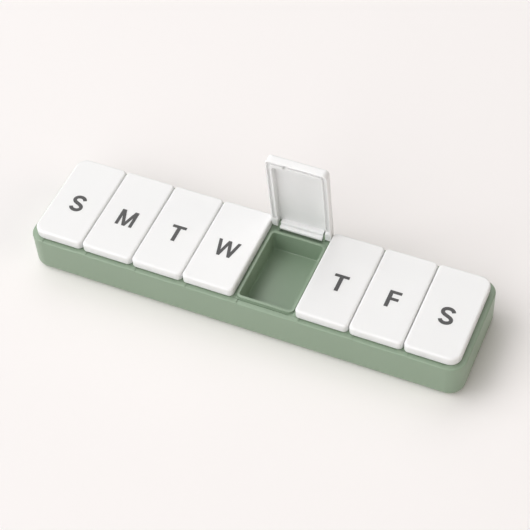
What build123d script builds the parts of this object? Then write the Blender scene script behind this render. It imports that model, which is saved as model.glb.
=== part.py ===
"""Weekly pill organizer: a rounded tray with a row of wells, each under its own hinged lid.

Millimetres. X runs along the row of lids, Y from the front edge to the hinge side, Z is up.
The origin is on the table, under the middle of the row of lids.
"""
import os
from dataclasses import dataclass
from math import hypot

from build123d import *

# Row of compartments
days_before_spare = ["sunday", "monday", "tuesday", "wednesday"]
days_after_spare = ["thursday", "friday", "saturday"]
day_pitch = 24.0
spare_pitch = 28.0

# Lids
lid_gap = 0.3
lid_length = 46.0
lid_height = 4.4
lid_corner = 2.2
lid_edge_radius = 1.0
lid_foot_radius = 0.2
lid_wall = 2.7
lid_front_wall = 3.8
lid_panel = 1.2
lid_inner_corner = 1.2
lid_inner_radius = 0.5
skirt_wall = 0.6
skirt_lift = 0.2
seat_gap = 0.1
vent_width = 1.2
vent_height = 1.6
vent_depth = 0.3
vent_from_left = 8.0
spare_lid_angle = 85.0

# Tray
ledge = 2.1
end_ledge = 2.5
deck_height = 19.0
tray_corner = 7.0
tray_bottom_radius = 3.6
tray_top_radius = 0.8
tray_floor = 1.6
tray_inner_radius = 1.0
seam_inset = 0.2
notch_depth = 0.3
notch_margin = 2.2

# Compartment insert
insert_clearance = 0.15
deck_thickness = 1.4
well_wall = 1.2
well_floor = 1.2
well_depth = 10.9
well_corner = 1.2
well_floor_radius = 0.4
rim_height = 1.1
rim_radius = 0.15
rim_clearance = 0.15

# Hinges
pin_diameter = 1.2
pin_chamfer = 0.15
pin_hold_clearance = 0.02
pin_turn_clearance = 0.06
hinge_inset = 1.5
hinge_rise = 2.1
ear_radius = 1.2
ear_width = 0.9
ear_toe = 2.3
ear_heel = 0.9
ear_root = 0.3
ear_clearance = 0.2
end_cheek_width = 3.6
cheek_length = 5.5
bar_rear = 1.2
bar_step_front = 2.2
bar_step_drop = 1.2
bar_front = 0.6
bar_drop = 2.8
bar_foot_rear = 1.0
bar_radius = 0.35
bar_root = 0.3
trough_clearance = 0.35
hinge_shelf = 1.0

# Places worked out from the sizes above
lid_front = -lid_length / 2
lid_back = lid_length / 2
end_corner = tray_corner - ledge
lid_top = deck_height + lid_height
lid_ceiling = lid_top - lid_panel
skirt_bottom = deck_height + skirt_lift
rim_top = deck_height + rim_height
lid_shoulder = rim_top + seat_gap
rim_inset = skirt_wall + rim_clearance
well_inset = rim_inset + well_wall
plug_inset = well_inset + rim_clearance
well_bottom = rim_top - well_depth
hinge_y = lid_back - hinge_inset
hinge_z = deck_height + hinge_rise
pin_radius = pin_diameter / 2
ear_room = ear_clearance + ear_width + ear_clearance
bar_reach = hypot(bar_foot_rear, bar_drop)
trough_front = hinge_y - bar_reach - trough_clearance
trough_floor = hinge_z - bar_reach - trough_clearance
rim_front = lid_front + rim_inset
rim_back = trough_front - hinge_shelf
plug_back = rim_back - well_wall - rim_clearance
cheek_front = lid_back - cheek_length
swing_radius = hinge_rise - skirt_lift
overcut = 5.0


@dataclass
class Compartment:
    """One place in the row: its name, the sides of its lid and the lid's corner radius at each side."""

    name: str
    left: float
    right: float
    left_corner: float
    right_corner: float

    @property
    def cheek_left(self):
        """Inner face of the lid's left cheek."""
        return self.left + cheek_size(self.left_corner)

    @property
    def cheek_right(self):
        """Inner face of the lid's right cheek."""
        return self.right - cheek_size(self.right_corner)

    @property
    def bar_left(self):
        """Left end of the lid's knuckle bar."""
        return self.cheek_left + ear_room

    @property
    def bar_right(self):
        """Right end of the lid's knuckle bar."""
        return self.cheek_right - ear_room

    @property
    def pin_left(self):
        """Left end of the hinge pin, flush with the outside of the left ear."""
        return self.bar_left - ear_clearance - ear_width

    @property
    def pin_right(self):
        """Right end of the hinge pin, flush with the outside of the right ear."""
        return self.bar_right + ear_clearance + ear_width


def cheek_size(corner):
    """Width of a lid's cheek at a side with this corner radius: the large end corners need more."""
    return lid_wall if corner == lid_corner else end_cheek_width


def row_of_compartments():
    """The compartments from left to right, with the row centred on the origin."""
    names = days_before_spare + ["spare"] + days_after_spare
    pitches = [spare_pitch if name == "spare" else day_pitch for name in names]
    row = []
    start = -sum(pitches) / 2
    for name, pitch in zip(names, pitches):
        left_corner = end_corner if name == names[0] else lid_corner
        right_corner = end_corner if name == names[-1] else lid_corner
        left = start + lid_gap / 2
        right = start + pitch - lid_gap / 2
        row.append(Compartment(name, left, right, left_corner, right_corner))
        start += pitch
    return row


def block(left, right, front, back, bottom, top):
    """Plain box between six planes."""
    middle = Pos((left + right) / 2, (front + back) / 2, (bottom + top) / 2)
    return middle * Box(right - left, back - front, top - bottom)


def rounded_prism(left, right, front, back, bottom, top, left_radius, right_radius):
    """Upright prism on a rectangle whose corners have one radius at the left and one at the right."""
    outline = Rectangle(right - left, back - front)
    outline = fillet(outline.vertices().group_by(Axis.X)[0], left_radius)
    outline = fillet(outline.vertices().group_by(Axis.X)[-1], right_radius)
    return extrude(Pos((left + right) / 2, (front + back) / 2, bottom) * outline, top - bottom)


def along_row(profile, left, right):
    """Run a profile along the row. It is drawn around the hinge line, first axis to the back, second up."""
    side_plane = Plane(origin=(left, hinge_y, hinge_z), x_dir=(0, 1, 0), z_dir=(1, 0, 0))
    return extrude(side_plane * profile, right - left)


def edges_at(part, height):
    """Edges that lie flat at one height."""
    return part.edges().filter_by_position(Axis.Z, height, height)


def inset_corner(corner, inset, smallest):
    """Corner radius of a wall that runs inside a lid's outline, never under the smallest."""
    return max(corner - inset, smallest)


def tray_outside(row, top):
    """Solid outside of the tray up to the given height, rounded at its foot and its top edge."""
    outside = rounded_prism(row[0].left - end_ledge, row[-1].right + end_ledge,
                            lid_front - ledge, lid_back + ledge, 0, top, tray_corner, tray_corner)
    outside = fillet(edges_at(outside, 0), tray_bottom_radius)
    return fillet(edges_at(outside, top), tray_top_radius)


def make_outer_tray(row):
    """Tub whose wall top is the ledge around the lids, with a finger notch in front of every lid."""
    tray = tray_outside(row, deck_height)
    lowered = tray_outside(row, deck_height - notch_depth)
    for place in row:
        notch_left = place.left + max(notch_margin, place.left_corner)
        notch_right = place.right - max(notch_margin, place.right_corner)
        column = block(notch_left, notch_right, lid_front - ledge - overcut, rim_front,
                       deck_height - notch_depth - overcut, deck_height + overcut)
        tray -= column - lowered
    corner = end_corner - seam_inset
    hollow = rounded_prism(row[0].left + seam_inset, row[-1].right - seam_inset,
                           lid_front + seam_inset, lid_back - seam_inset,
                           tray_floor, deck_height + overcut, corner, corner)
    return tray - fillet(edges_at(hollow, tray_floor), tray_inner_radius)


def make_cup(place):
    """Outside of one well, from its foot on the tray's floor up to its rim."""
    cup = rounded_prism(place.left + rim_inset, place.right - rim_inset, rim_front, rim_back,
                        tray_floor, rim_top,
                        inset_corner(place.left_corner, rim_inset, well_corner + well_wall),
                        inset_corner(place.right_corner, rim_inset, well_corner + well_wall))
    return fillet(edges_at(cup, tray_floor), tray_inner_radius)


def make_well(place):
    """Space inside one well, open at the top."""
    well = inside_of_cup(place, well_bottom, rim_top + overcut)
    return fillet(edges_at(well, well_bottom), well_floor_radius)


def make_underside(place):
    """Space under one well's floor, open at the foot, which leaves the walls to stand on the tray's floor."""
    return inside_of_cup(place, tray_floor - overcut, well_bottom - well_floor)


def inside_of_cup(place, bottom, top):
    """Upright space between the walls of one cup."""
    return rounded_prism(place.left + well_inset, place.right - well_inset,
                         rim_front + well_wall, rim_back - well_wall, bottom, top,
                         inset_corner(place.left_corner, well_inset, well_corner),
                         inset_corner(place.right_corner, well_inset, well_corner))


def make_ears(place):
    """The two drilled ears that hold one lid's pin, leaning back from their feet to clear the open lid."""
    foot = Line((-ear_toe, -hinge_rise - ear_root), (-ear_heel, -hinge_rise - ear_root))
    profile = make_hull(Circle(ear_radius).edges() + [foot])
    profile -= Circle(pin_radius + pin_hold_clearance)
    left_ear = along_row(profile, place.pin_left, place.pin_left + ear_width)
    right_ear = along_row(profile, place.pin_right - ear_width, place.pin_right)
    return left_ear + right_ear


def make_compartment_insert(row):
    """Deck with the wells under it, and at the back the hinge trough and ears of every lid."""
    inset = seam_inset + insert_clearance
    back = lid_back - inset
    corner = end_corner - inset
    rail_bottom = trough_floor - deck_thickness
    insert = rounded_prism(row[0].left + inset, row[-1].right - inset, lid_front + inset, back,
                           rail_bottom, deck_height, corner, corner)
    insert -= block(row[0].left, row[-1].right, lid_front, rim_back,
                    rail_bottom, deck_height - deck_thickness)
    for place in row:
        insert += make_cup(place)
    for place in row:
        insert -= make_well(place)
        insert -= make_underside(place)
        insert -= block(place.bar_left - ear_clearance, place.bar_right + ear_clearance,
                        trough_front, back + overcut, trough_floor, deck_height + overcut)
    insert = fillet(edges_at(insert, rim_top), rim_radius)
    for place in row:
        insert += make_ears(place)
    return insert


def knuckle_profile():
    """Stepped section of a lid's knuckle bar, around the hinge line of the closed lid."""
    ceiling = lid_ceiling - hinge_z + bar_root
    section = Polygon((-bar_step_front, ceiling), (-bar_step_front, -bar_step_drop),
                      (-bar_front, -bar_step_drop), (-bar_front, -bar_drop),
                      (bar_foot_rear, -bar_drop), (bar_foot_rear, -bar_step_drop),
                      (bar_rear, -bar_step_drop), (bar_rear, ceiling), align=None)
    lower_corners = section.vertices().group_by(Axis.Y)[0]
    section = fillet(lower_corners, bar_radius)
    step_corner = section.vertices().group_by(Axis.X)[0].sort_by(Axis.Y)[0]
    return fillet(step_corner, bar_radius)


def make_groove(place):
    """Groove in a lid's edge for the well's rim: a thin skirt stays outside it and a plug inside."""
    smallest = well_corner - rim_clearance
    outside = rounded_prism(place.left + skirt_wall, place.right - skirt_wall,
                            lid_front + skirt_wall, cheek_front, skirt_bottom - overcut, lid_shoulder,
                            place.left_corner - skirt_wall, place.right_corner - skirt_wall)
    plug = rounded_prism(place.left + plug_inset, place.right - plug_inset,
                         lid_front + plug_inset, plug_back, skirt_bottom - overcut, lid_shoulder,
                         inset_corner(place.left_corner, plug_inset, smallest),
                         inset_corner(place.right_corner, plug_inset, smallest))
    return outside - plug


def make_lid(place):
    """Closed lid: a shell whose grooved edge caps the well's rim, with a knuckle bar at the back."""
    lid = rounded_prism(place.left, place.right, lid_front, lid_back, skirt_bottom, lid_top,
                        place.left_corner, place.right_corner)
    lid = fillet(edges_at(lid, lid_top), lid_edge_radius)
    lid = fillet(edges_at(lid, skirt_bottom), lid_foot_radius)
    lid -= make_groove(place)
    cavity = rounded_prism(place.left + lid_wall, place.right - lid_wall,
                           lid_front + lid_front_wall, cheek_front, skirt_bottom - overcut, lid_ceiling,
                           inset_corner(place.left_corner, lid_wall, lid_inner_corner),
                           inset_corner(place.right_corner, lid_wall, lid_inner_corner))
    lid -= fillet(edges_at(cavity, lid_ceiling), lid_inner_radius)
    lid -= block(place.cheek_left, place.cheek_right, cheek_front - end_corner, lid_back + overcut,
                 skirt_bottom - overcut, lid_ceiling)
    heel = Pos(overcut / 2, -overcut / 2) * Rectangle(overcut, overcut)
    lid -= along_row(heel - Circle(swing_radius), place.left, place.right)
    lid += along_row(knuckle_profile(), place.bar_left, place.bar_right)
    lid -= along_row(Circle(pin_radius + pin_turn_clearance), place.bar_left, place.bar_right)
    ear_sweep = Circle(ear_radius + ear_clearance)
    lid -= along_row(ear_sweep, place.cheek_left, place.bar_left)
    lid -= along_row(ear_sweep, place.bar_right, place.cheek_right)
    vent_left = place.left + vent_from_left
    return lid - block(vent_left, vent_left + vent_width,
                       lid_front + skirt_wall - vent_depth, lid_front + lid_front_wall + overcut,
                       skirt_bottom - overcut, skirt_bottom + vent_height)


def make_pin(place):
    """Plain wire pin, from the outside of one ear to the outside of the other."""
    pin = along_row(Circle(pin_radius), place.pin_left, place.pin_right)
    return chamfer(pin.edges().filter_by(GeomType.CIRCLE), pin_chamfer)


def main():
    """Build every piece and write it to its own file."""
    row = row_of_compartments()
    pieces = {"outer_tray": make_outer_tray(row), "compartment_insert": make_compartment_insert(row)}
    hinge_line = Axis((0, hinge_y, hinge_z), (1, 0, 0))
    for place in row:
        lid = make_lid(place)
        if place.name == "spare":
            lid = lid.rotate(hinge_line, -spare_lid_angle)
        pieces["lid_" + place.name] = lid
        pieces["hinge_pin_" + place.name] = make_pin(place)
    os.makedirs("parts", exist_ok=True)
    for name, piece in pieces.items():
        export_step(piece, f"parts/{name}.step")


main()
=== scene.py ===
"""Looks of a weekly pill organizer: finishes of its pieces, printed weekday initials and a pale studio."""

import logging
import math
from dataclasses import dataclass
from enum import Enum

import bmesh
import bpy
from mathutils import Matrix, Vector
from mathutils.geometry import interpolate_bezier


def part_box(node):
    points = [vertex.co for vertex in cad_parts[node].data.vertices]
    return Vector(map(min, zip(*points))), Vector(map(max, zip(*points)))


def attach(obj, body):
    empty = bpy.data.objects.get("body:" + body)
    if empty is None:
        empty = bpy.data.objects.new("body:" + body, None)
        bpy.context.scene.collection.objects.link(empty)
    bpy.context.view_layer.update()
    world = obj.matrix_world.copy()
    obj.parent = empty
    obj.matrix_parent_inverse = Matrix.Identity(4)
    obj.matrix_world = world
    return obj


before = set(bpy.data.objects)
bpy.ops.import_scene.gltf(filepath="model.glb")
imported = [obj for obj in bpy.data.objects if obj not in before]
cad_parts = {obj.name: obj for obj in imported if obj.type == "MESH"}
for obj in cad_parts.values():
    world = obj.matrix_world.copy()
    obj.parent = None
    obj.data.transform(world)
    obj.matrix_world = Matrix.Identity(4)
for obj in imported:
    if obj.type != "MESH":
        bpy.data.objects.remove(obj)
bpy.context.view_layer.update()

log = logging.getLogger("pill_organizer")
MM = 0.001
IMAGE_WIDTH_PX = 530

# Sockets that are known by number, because a Mix or Math node has several of one name.
MIX_FACTOR = 0
MIX_FIRST = 6
MIX_SECOND = 7
MIX_RESULT = 2
FIRST_VALUE = 0
SECOND_VALUE = 1


class Compartment(Enum):
    """The places in the row of lids, each with the name that its pieces and bodies carry."""

    SUNDAY = "sunday"
    MONDAY = "monday"
    TUESDAY = "tuesday"
    WEDNESDAY = "wednesday"
    SPARE = "spare"
    THURSDAY = "thursday"
    FRIDAY = "friday"
    SATURDAY = "saturday"


class Initial(Enum):
    """The weekday initials that are printed on the lids."""

    S = "S"
    M = "M"
    T = "T"
    W = "W"
    F = "F"


def linear(hex_colour: str) -> tuple[float, float, float, float]:
    """Turns an sRGB colour into the linear values that a shader takes.

    Args:
        hex_colour: The colour as six hex digits after a hash sign.

    Returns:
        Linear red, green, blue and an alpha of 1.
    """
    parts = [int(hex_colour[i:i + 2], 16) / 255 for i in (1, 3, 5)]
    red, green, blue = [p / 12.92 if p <= 0.04045 else ((p + 0.055) / 1.055) ** 2.4 for p in parts]
    return red, green, blue, 1.0


def add_node(tree: bpy.types.NodeTree, kind: str, settings: dict | None = None,
             links: dict | None = None) -> bpy.types.Node:
    """Adds a shader node with its settings and the links into it.

    Args:
        tree: The node tree that gets the node.
        kind: Blender's name for the node type.
        settings: Values by the name of a node property, or by the name or number of an input socket.
        links: Output sockets of other nodes, by the name or number of the input that they feed.

    Returns:
        The new node.
    """
    node = tree.nodes.new(kind)
    for key, value in (settings or {}).items():
        if isinstance(key, str) and key in node.bl_rna.properties:
            setattr(node, key, value)
        else:
            node.inputs[key].default_value = value
    for key, output in (links or {}).items():
        tree.links.new(output, node.inputs[key])
    return node


def new_material(name: str) -> bpy.types.Material:
    """Makes a material with an empty node tree.

    Args:
        name: The material's name.

    Returns:
        The new material.
    """
    material = bpy.data.materials.new(name)
    material.use_nodes = True
    material.node_tree.nodes.clear()
    return material


@dataclass(frozen=True)
class MouldedPlastic:
    """An injection-moulded plastic with a fine satin texture, into which light may go a little way."""

    name: str
    colour: str
    flow_colour: str
    ior: float
    roughness: float
    roughness_drift: float
    flow_mm: float
    grain_mm: float
    grain_depth_mm: float
    scatter: float = 0.0
    scatter_mm: float = 0.0
    scatter_by_colour: tuple[float, float, float] = (1.0, 1.0, 1.0)
    flow_detail: float = 3.0
    grain_break_up: float = 0.55

    def material(self) -> bpy.types.Material:
        """Builds the material: a colour that drifts with the melt's flow, and a grain that breaks the gloss.

        Returns:
            The finished material.
        """
        made = new_material(self.name)
        tree = made.node_tree
        place = add_node(tree, "ShaderNodeTexCoord").outputs["Object"]
        flow = add_node(tree, "ShaderNodeTexNoise",
                        {"Scale": 1 / (self.flow_mm * MM), "Detail": self.flow_detail}, {"Vector": place})
        tone = add_node(tree, "ShaderNodeMix",
                        {"data_type": "RGBA", MIX_FIRST: linear(self.colour),
                         MIX_SECOND: linear(self.flow_colour)},
                        {MIX_FACTOR: flow.outputs["Fac"]})
        grain = add_node(tree, "ShaderNodeTexNoise",
                         {"Scale": 1 / (self.grain_mm * MM), "Roughness": self.grain_break_up},
                         {"Vector": place})
        gloss = add_node(tree, "ShaderNodeMapRange",
                         {"To Min": self.roughness - self.roughness_drift,
                          "To Max": self.roughness + self.roughness_drift}, {"Value": grain.outputs["Fac"]})
        relief = add_node(tree, "ShaderNodeBump", {"Distance": self.grain_depth_mm * MM},
                          {"Height": grain.outputs["Fac"]})
        surface = add_node(tree, "ShaderNodeBsdfPrincipled",
                           {"IOR": self.ior, "Subsurface Weight": self.scatter,
                            "Subsurface Radius": self.scatter_by_colour,
                            "Subsurface Scale": self.scatter_mm * MM},
                           {"Base Color": tone.outputs[MIX_RESULT], "Roughness": gloss.outputs["Result"],
                            "Normal": relief.outputs["Normal"]})
        add_node(tree, "ShaderNodeOutputMaterial", links={"Surface": surface.outputs["BSDF"]})
        return made


@dataclass(frozen=True)
class DrawnWire:
    """Bright steel wire, pulled through a die."""

    name: str
    colour: str
    roughness: float
    roughness_drift: float
    line_mm: float
    line_stretch: float
    line_depth_mm: float

    def material(self) -> bpy.types.Material:
        """Builds the material: fine die lines along the wire, which runs along the row.

        Returns:
            The finished material.
        """
        made = new_material(self.name)
        tree = made.node_tree
        place = add_node(tree, "ShaderNodeTexCoord").outputs["Object"]
        drawn = add_node(tree, "ShaderNodeMapping", {"Scale": (1 / self.line_stretch, 1.0, 1.0)},
                         {"Vector": place})
        lines = add_node(tree, "ShaderNodeTexNoise", {"Scale": 1 / (self.line_mm * MM)},
                         {"Vector": drawn.outputs["Vector"]})
        gloss = add_node(tree, "ShaderNodeMapRange",
                         {"To Min": self.roughness - self.roughness_drift,
                          "To Max": self.roughness + self.roughness_drift}, {"Value": lines.outputs["Fac"]})
        relief = add_node(tree, "ShaderNodeBump", {"Distance": self.line_depth_mm * MM},
                          {"Height": lines.outputs["Fac"]})
        surface = add_node(tree, "ShaderNodeBsdfPrincipled",
                           {"Base Color": linear(self.colour), "Metallic": 1.0},
                           {"Roughness": gloss.outputs["Result"], "Normal": relief.outputs["Normal"]})
        add_node(tree, "ShaderNodeOutputMaterial", links={"Surface": surface.outputs["BSDF"]})
        return made


@dataclass(frozen=True)
class PrintedInk:
    """Pad-printing ink, laid down in one thin coat."""

    name: str
    colour: str
    thin_colour: str
    ior: float
    roughness: float
    blotch_mm: float

    def material(self) -> bpy.types.Material:
        """Builds the material: a dull coat that is a little thinner in soft blotches.

        Returns:
            The finished material.
        """
        made = new_material(self.name)
        tree = made.node_tree
        place = add_node(tree, "ShaderNodeTexCoord").outputs["Object"]
        coat = add_node(tree, "ShaderNodeTexNoise", {"Scale": 1 / (self.blotch_mm * MM)}, {"Vector": place})
        tone = add_node(tree, "ShaderNodeMix",
                        {"data_type": "RGBA", MIX_FIRST: linear(self.colour),
                         MIX_SECOND: linear(self.thin_colour)},
                        {MIX_FACTOR: coat.outputs["Fac"]})
        surface = add_node(tree, "ShaderNodeBsdfPrincipled", {"IOR": self.ior, "Roughness": self.roughness},
                           {"Base Color": tone.outputs[MIX_RESULT]})
        add_node(tree, "ShaderNodeOutputMaterial", links={"Surface": surface.outputs["BSDF"]})
        return made


@dataclass(frozen=True)
class StudioPaper:
    """Matt seamless paper under the object."""

    name: str
    colour: str
    roughness: float

    def material(self) -> bpy.types.Material:
        """Builds the material: plain, without gloss.

        Returns:
            The finished material.
        """
        made = new_material(self.name)
        tree = made.node_tree
        surface = add_node(tree, "ShaderNodeBsdfPrincipled",
                           {"Base Color": linear(self.colour), "Roughness": self.roughness,
                            "Specular IOR Level": 0.0})
        add_node(tree, "ShaderNodeOutputMaterial", links={"Surface": surface.outputs["BSDF"]})
        return made


# Polypropylene, moulded in a spark-eroded tool: an even sage green with a soft, wide sheen.
# The texture's own grit of about 0.1 mm is too fine to show, so it is drawn at 0.7 mm.
SAGE_POLYPROPYLENE = MouldedPlastic(
    name="moulded_polypropylene_sage", colour="#8DA08A", flow_colour="#8A9D87", ior=1.49, roughness=0.35,
    roughness_drift=0.05, flow_mm=30.0, grain_mm=0.7, grain_depth_mm=0.006)

# ABS, moulded in a finely stoned tool: a clean white with a satin gloss that softens every edge.
# Light goes nearly a millimetre into it, which lifts the sides. The stoning marks of about 0.05 mm are too
# fine to show, so they are drawn at 0.7 mm.
WHITE_ABS = MouldedPlastic(
    name="moulded_abs_white", colour="#F1F1F1", flow_colour="#EEEEEE", ior=1.54, roughness=0.38,
    roughness_drift=0.04, flow_mm=25.0, grain_mm=0.7, grain_depth_mm=0.003, scatter=0.9, scatter_mm=0.8)

# Steel spring wire, drawn bright: a narrow highlight along the pin, streaked by the die.
# Die lines of about 0.02 mm are too fine to show, so they are drawn at 0.2 mm.
BRIGHT_STEEL_WIRE = DrawnWire(
    name="drawn_steel_wire", colour="#C4C6C8", roughness=0.3, roughness_drift=0.08, line_mm=0.2,
    line_stretch=40.0, line_depth_mm=0.002)

# Two-part pad ink, cured matt: a dark neutral grey that shows almost no gloss beside the satin lid.
CHARCOAL_INK = PrintedInk(
    name="pad_printed_ink_charcoal", colour="#404041", thin_colour="#494949", ior=1.5, roughness=0.6,
    blotch_mm=1.5)

# Matt seamless paper: a warm white that takes the soft shadow.
WARM_PAPER = StudioPaper(name="seamless_paper_warm_white", colour="#FBF7F6", roughness=0.9)

Finish = MouldedPlastic | DrawnWire | PrintedInk | StudioPaper


def dress(piece: bpy.types.Object, finish: Finish) -> None:
    """Gives a piece one finish in place of those it has, made the first time that a piece needs it.

    Args:
        piece: The piece to dress.
        finish: What it is made of.
    """
    material = bpy.data.materials.get(finish.name) or finish.material()
    piece.data.materials.clear()
    piece.data.materials.append(material)


@dataclass
class PhotoCamera:
    """Camera at the photograph's viewing angle, in the frame of the tray."""

    x_mm: float = 185.7
    y_mm: float = -368.3
    z_mm: float = 519.9
    azimuth_deg: float = 26.389
    elevation_deg: float = 50.744
    roll_deg: float = 4.020
    focal_px: float = 1506.15
    sensor_mm: float = 36.0
    near_clip_m: float = 0.01
    far_clip_m: float = 50.0

    def build(self) -> None:
        """Makes the camera and sets it as the scene's own."""
        data = bpy.data.cameras.new("photo_camera")
        data.sensor_width = self.sensor_mm
        data.lens = self.focal_px * self.sensor_mm / IMAGE_WIDTH_PX
        data.clip_start = self.near_clip_m
        data.clip_end = self.far_clip_m
        camera = bpy.data.objects.new("photo_camera", data)
        bpy.context.scene.collection.objects.link(camera)
        azimuth = math.radians(self.azimuth_deg)
        elevation = math.radians(self.elevation_deg)
        level = math.cos(elevation)
        forward = Vector((-math.sin(azimuth) * level, math.cos(azimuth) * level, -math.sin(elevation)))
        turn = Matrix.Rotation(math.radians(self.roll_deg), 3, forward)
        right = turn @ Vector((math.cos(azimuth), math.sin(azimuth), 0.0))
        up = right.cross(forward)
        axes = Matrix((right, up, -forward)).transposed()
        stand = Vector((self.x_mm, self.y_mm, self.z_mm)) * MM
        camera.matrix_world = Matrix.Translation(stand) @ axes.to_4x4()
        bpy.context.scene.camera = camera


@dataclass(frozen=True)
class SoftBox:
    """One soft square lamp that is aimed at the middle of the object."""

    name: str
    azimuth_deg: float
    elevation_deg: float
    distance_m: float
    size_m: float
    watts: float
    colour: str

    def build(self) -> None:
        """Makes the lamp. Azimuth 0 is in front of the object and 90 is at its right."""
        data = bpy.data.lights.new(self.name, "AREA")
        data.shape = "SQUARE"
        data.size = self.size_m
        data.energy = self.watts
        data.color = linear(self.colour)[:3]
        lamp = bpy.data.objects.new(self.name, data)
        bpy.context.scene.collection.objects.link(lamp)
        azimuth = math.radians(self.azimuth_deg)
        elevation = math.radians(self.elevation_deg)
        level = math.cos(elevation)
        out = Vector((math.sin(azimuth) * level, -math.cos(azimuth) * level, math.sin(elevation)))
        lamp.location = out * self.distance_m
        lamp.rotation_mode = "QUATERNION"
        lamp.rotation_quaternion = out.to_track_quat("Z", "Y")


@dataclass
class Studio:
    """Pale floor, soft lamps and a pale surround."""

    floor_m: float = 6.0
    surround_colour: str = "#FAF6F3"
    surround_strength: float = 0.05
    shown_strength: float = 1.0
    lamps: tuple[SoftBox, ...] = (
        SoftBox("left_softbox", -75.0, 42.0, 4.4, 3.3, 66.0, "#FFFFFF"),
        SoftBox("back_left_softbox", -112.0, 56.0, 4.4, 3.0, 50.0, "#FFFFFF"),
        SoftBox("front_softbox", -25.0, 38.0, 4.4, 6.0, 170.0, "#FFFFFF"),
        SoftBox("right_softbox", 90.0, 26.0, 4.2, 2.8, 44.0, "#FFF5EA"),
        SoftBox("back_softbox", -162.0, 46.0, 3.6, 2.4, 24.0, "#FFFFFF"))

    def build(self) -> None:
        """Makes the floor, the lamps and the world."""
        bpy.context.scene.view_settings.view_transform = "Standard"
        self.build_floor()
        self.build_world()
        for lamp in self.lamps:
            lamp.build()

    def build_floor(self) -> None:
        """Lays the paper under the object."""
        half = self.floor_m / 2
        corners = [(-half, -half, 0), (half, -half, 0), (half, half, 0), (-half, half, 0)]
        mesh = bpy.data.meshes.new("floor")
        mesh.from_pydata(corners, [], [(0, 1, 2, 3)])
        floor = bpy.data.objects.new("floor", mesh)
        bpy.context.scene.collection.objects.link(floor)
        dress(floor, WARM_PAPER)

    def build_world(self) -> None:
        """Gives a plain fill, and the paper's own tone to what looks past the floor."""
        world = bpy.data.worlds.new("studio_surround")
        world.use_nodes = True
        tree = world.node_tree
        tree.nodes.clear()
        rays = add_node(tree, "ShaderNodeLightPath")
        seen = add_node(tree, "ShaderNodeMath", {"operation": "MAXIMUM"},
                        {FIRST_VALUE: rays.outputs["Is Camera Ray"],
                         SECOND_VALUE: rays.outputs["Is Glossy Ray"]})
        shown = add_node(tree, "ShaderNodeMath", {"operation": "MAXIMUM"},
                         {FIRST_VALUE: seen.outputs["Value"],
                          SECOND_VALUE: rays.outputs["Is Transmission Ray"]})
        strength = add_node(tree, "ShaderNodeMapRange",
                            {"To Min": self.surround_strength, "To Max": self.shown_strength},
                            {"Value": shown.outputs["Value"]})
        surround = add_node(tree, "ShaderNodeBackground", {"Color": linear(self.surround_colour)},
                            {"Strength": strength.outputs["Result"]})
        add_node(tree, "ShaderNodeOutputWorld", links={"Surface": surround.outputs["Background"]})
        bpy.context.scene.world = world


@dataclass
class Tray:
    """The sage tub and the insert with the wells, which stay as the solids have them."""

    nodes: tuple[str, ...] = ("outer_tray", "compartment_insert")

    def dress(self) -> None:
        """Gives the tub and the insert their sage finish."""
        for name in self.nodes:
            dress(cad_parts[name], SAGE_POLYPROPYLENE)
            log.info("dressed %s", name)


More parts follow.
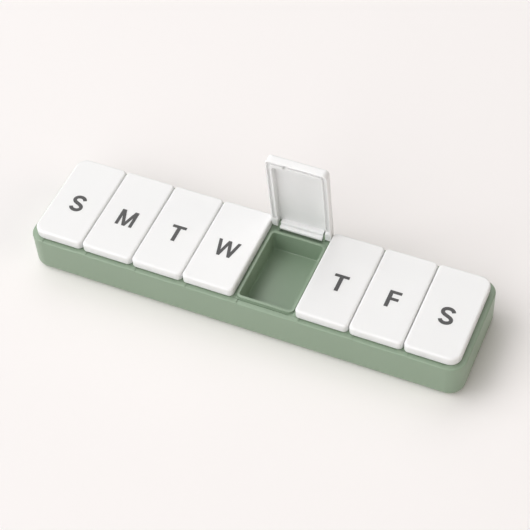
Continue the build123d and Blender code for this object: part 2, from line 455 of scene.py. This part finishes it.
@dataclass
class WeekdayMark:
    """A printed initial in a plain upright grotesque, drawn around its middle in millimetres."""

    initial: Initial
    cap_height: float = 8.9
    stem: float = 1.75
    bar: float = 1.45
    overshoot: float = 0.2
    t_arm: float = 3.27
    f_left: float = -2.65
    f_upper_end: float = 2.75
    f_lower_end: float = 2.4
    f_lower_top: float = 0.8
    m_side: float = 4.05
    m_stem: float = 1.5
    m_slant: float = 1.55
    m_foot: float = 0.75
    m_shoulder: float = 2.15
    w_side: float = 5.2
    w_lean: float = 2.15
    w_stroke: float = 1.5
    w_foot: float = 1.35
    w_tip: float = 0.75
    s_stroke: float = 1.68
    s_end: tuple[float, float] = (2.3, 2.25)
    s_end_pull: tuple[float, float] = (-0.25, 0.8)
    s_top_pull_right: tuple[float, float] = (1.2, 0.0)
    s_top_pull_left: tuple[float, float] = (-1.35, 0.0)
    s_left: tuple[float, float] = (-2.37, 2.1)
    s_left_pull_up: tuple[float, float] = (0.0, 0.95)
    s_left_pull_down: tuple[float, float] = (0.0, -1.3)
    s_middle_pull: tuple[float, float] = (-1.0, 0.42)
    s_set_left: float = 0.4
    coat: float = 0.04
    sink: float = 0.02
    curve_steps: int = 10

    def outline(self) -> list[Vector]:
        """Gives the initial's outline.

        Returns:
            The corners in order, in millimetres.
        """
        drawn = {Initial.S: self.outline_s, Initial.M: self.outline_m, Initial.T: self.outline_t,
                 Initial.W: self.outline_w, Initial.F: self.outline_f}
        return [Vector((x, y, 0.0)) for x, y in drawn[self.initial]()]

    def outline_t(self) -> list[tuple[float, float]]:
        """Draws a T: a bar on a stem.

        Returns:
            The corners in order, in millimetres.
        """
        top = self.cap_height / 2
        arm = self.t_arm
        half = self.stem / 2
        under = top - self.bar
        return [(-arm, top), (-arm, under), (-half, under), (-half, -top),
                (half, -top), (half, under), (arm, under), (arm, top)]

    def outline_f(self) -> list[tuple[float, float]]:
        """Draws an F: a stem with two bars, the lower one a little shorter.

        Returns:
            The corners in order, in millimetres.
        """
        top = self.cap_height / 2
        left = self.f_left
        inner = left + self.stem
        lower_top = self.f_lower_top
        return [(left, top), (left, -top), (inner, -top), (inner, lower_top - self.bar),
                (self.f_lower_end, lower_top - self.bar), (self.f_lower_end, lower_top), (inner, lower_top),
                (inner, top - self.bar), (self.f_upper_end, top - self.bar), (self.f_upper_end, top)]

    def outline_m(self) -> list[tuple[float, float]]:
        """Draws an M: two stems and a V that reaches down to the base line.

        Returns:
            The corners in order, in millimetres.
        """
        top = self.cap_height / 2
        side = self.m_side
        foot = self.m_foot
        shoulder = self.m_shoulder
        inner = side - self.m_stem
        slope = self.cap_height / (shoulder - foot + self.m_slant)
        valley = top - shoulder * slope
        joint = -top + (inner - foot) * slope
        half = [(side, top), (side, -top), (inner, -top), (inner, joint), (foot, -top)]
        mirrored = [(-x, y) for x, y in reversed(half)]
        return [(shoulder, top), *half, *mirrored, (-shoulder, top), (0.0, valley)]

    def outline_w(self) -> list[tuple[float, float]]:
        """Draws a W: four slanting strokes whose middle tip reaches the top.

        Returns:
            The corners in order, in millimetres.
        """
        top = self.cap_height / 2
        side = self.w_side
        stroke = self.w_stroke
        tip = self.w_tip
        foot_outer = side - self.w_lean
        foot_inner = foot_outer - self.w_foot
        run = foot_inner + stroke - tip
        meet = (side - stroke - tip) / (self.w_lean + run)
        notch = (tip + run * meet, top - meet * self.cap_height)
        crotch = -top + foot_inner / run * self.cap_height
        half = [(side, top), (foot_outer, -top), (foot_inner, -top)]
        left_half = [(-x, y) for x, y in reversed(half)]
        return [(tip, top), notch, (side - stroke, top), *half, (0.0, crotch), *left_half,
                (stroke - side, top), (-notch[0], notch[1]), (-tip, top)]

    def outline_s(self) -> list[tuple[float, float]]:
        """Draws an S: one stroke along a curve that is the same upside down.

        Returns:
            The corners in order, in millimetres.
        """
        half = self.s_stroke / 2
        top = Vector((0.0, self.cap_height / 2 + self.overshoot - half))
        end = Vector(self.s_end)
        left = Vector(self.s_left)
        middle = Vector((0.0, 0.0))
        arcs = [(end, end + Vector(self.s_end_pull), top + Vector(self.s_top_pull_right), top),
                (top, top + Vector(self.s_top_pull_left), left + Vector(self.s_left_pull_up), left),
                (left, left + Vector(self.s_left_pull_down), middle + Vector(self.s_middle_pull), middle)]
        upper = []
        for arc in arcs:
            upper += interpolate_bezier(*arc, self.curve_steps)[:-1]
        line = upper + [middle] + [-point for point in reversed(upper)]
        right_side = []
        left_side = []
        for before, point, after in zip([line[0]] + line[:-1], line, line[1:] + [line[-1]]):
            along = (after - before).normalized()
            across = Vector((along.y, -along.x)) * half
            right_side.append(point + across)
            left_side.append(point - across)
        return [(p.x - self.s_set_left, p.y) for p in right_side + left_side[::-1]]

    def build(self, name: str, place: Vector) -> bpy.types.Object:
        """Makes the coat of ink as a thin closed solid.

        Args:
            name: The piece's name.
            place: Middle of the initial on the lid's top, in metres.

        Returns:
            The new piece, in place.
        """
        corners = [place + corner * MM for corner in self.outline()]
        sunk = Vector((0.0, 0.0, -self.sink * MM))
        raised = Vector((0.0, 0.0, self.coat * MM))
        shape = bmesh.new()
        low = [shape.verts.new(corner + sunk) for corner in corners]
        high = [shape.verts.new(corner + raised) for corner in corners]
        shape.faces.new(low)
        shape.faces.new(high)
        for i in range(len(corners)):
            shape.faces.new((low[i - 1], low[i], high[i], high[i - 1]))
        bmesh.ops.recalc_face_normals(shape, faces=shape.faces)
        mesh = bpy.data.meshes.new(name)
        shape.to_mesh(mesh)
        shape.free()
        piece = bpy.data.objects.new(name, mesh)
        bpy.context.scene.collection.objects.link(piece)
        return piece


@dataclass
class HingedLid:
    """One white lid on its wire pin, with its printed initial if it belongs to a weekday."""

    place: Compartment
    mark_right_mm: float = 0.38
    mark_forward_mm: float = 2.5

    def dress(self) -> None:
        """Gives the lid and its pin their finishes and prints the initial."""
        dress(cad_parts["lid_" + self.place.value], WHITE_ABS)
        dress(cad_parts["hinge_pin_" + self.place.value], BRIGHT_STEEL_WIRE)
        log.info("dressed the %s lid and its pin", self.place.value)
        if self.place is not Compartment.SPARE:
            self.print_mark()

    def print_mark(self) -> None:
        """Prints the weekday's initial on the lid's top."""
        low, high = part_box("lid_" + self.place.value)
        centre = (low + high) / 2
        where = Vector((centre.x + self.mark_right_mm * MM, centre.y - self.mark_forward_mm * MM, high.z))
        mark = WeekdayMark(Initial[self.place.name[0]]).build("mark_" + self.place.value, where)
        dress(mark, CHARCOAL_INK)
        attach(mark, self.place.value + "_lid")
        log.info("printed the initial of %s", self.place.value)


def main() -> None:
    """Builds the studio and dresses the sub-assemblies in order."""
    logging.basicConfig(level=logging.INFO, format="%(message)s")
    PhotoCamera().build()
    Studio().build()
    Tray().dress()
    for place in Compartment:
        HingedLid(place).dress()


if __name__ == "__main__":
    main()
